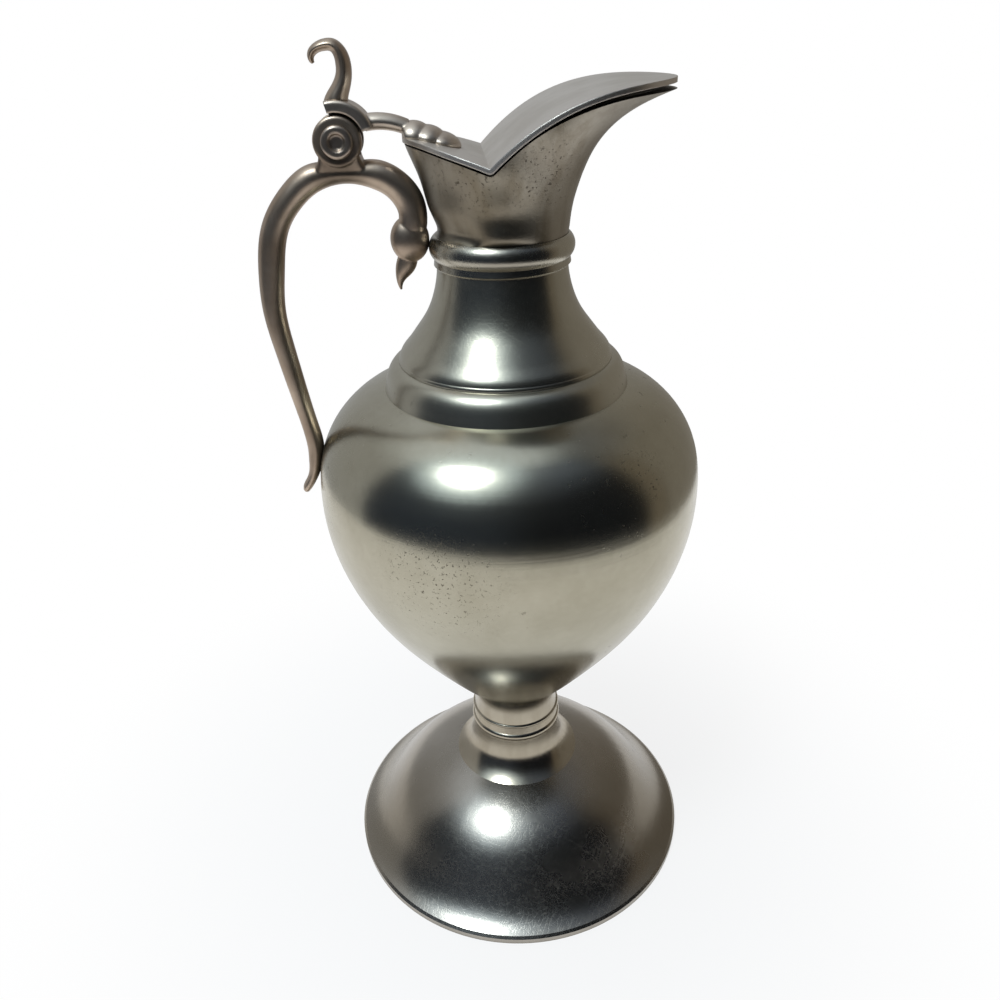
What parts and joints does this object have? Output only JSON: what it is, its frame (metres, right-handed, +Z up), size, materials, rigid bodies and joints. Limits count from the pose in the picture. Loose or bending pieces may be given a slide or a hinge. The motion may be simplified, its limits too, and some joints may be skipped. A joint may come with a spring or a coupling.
{
  "type": "lidded creamer",
  "caption": "Pewter cream jug on a bell foot, with a flaring spout, a bird-head scroll handle and a hinged V-shaped lid with a thumbpiece.",
  "frame": {"origin": "on the floor under the jug, under the middle of the outline between the back of the handle and the front edge of the foot", "axes": "+Z up, +X towards the spout, -X towards the handle, the hinge pin along Y"},
  "size_m": [0.0806, 0.076, 0.1694],
  "materials": {
    "polished_pewter": "satin-polished old pewter",
    "cast_pewter": "cast pewter, brown-grey, satin",
    "sheet_pewter": "pewter sheet, pale, nearly matt"
  },
  "bodies": {
    "jug": {"foot_bell": "polished_pewter", "stem_base": "polished_pewter", "stem_ring": "polished_pewter", "bowl_lower": "polished_pewter", "bowl_upper": "polished_pewter", "shoulder_ring": "polished_pewter", "neck": "polished_pewter", "collar": "polished_pewter", "spout": "polished_pewter", "handle": "cast_pewter", "hinge_pin": "cast_pewter"},
    "lid": {"lid_plate": "sheet_pewter", "lid_strap": "cast_pewter", "thumbpiece": "cast_pewter"}
  },
  "joints": [
    {"name": "lid_hinge", "type": "hinge", "parent": "jug", "child": "lid", "pos_m": [-0.02381, 0, 0.1547], "axis": [0, -1, 0], "range_deg": [0, 80]}
  ]
}
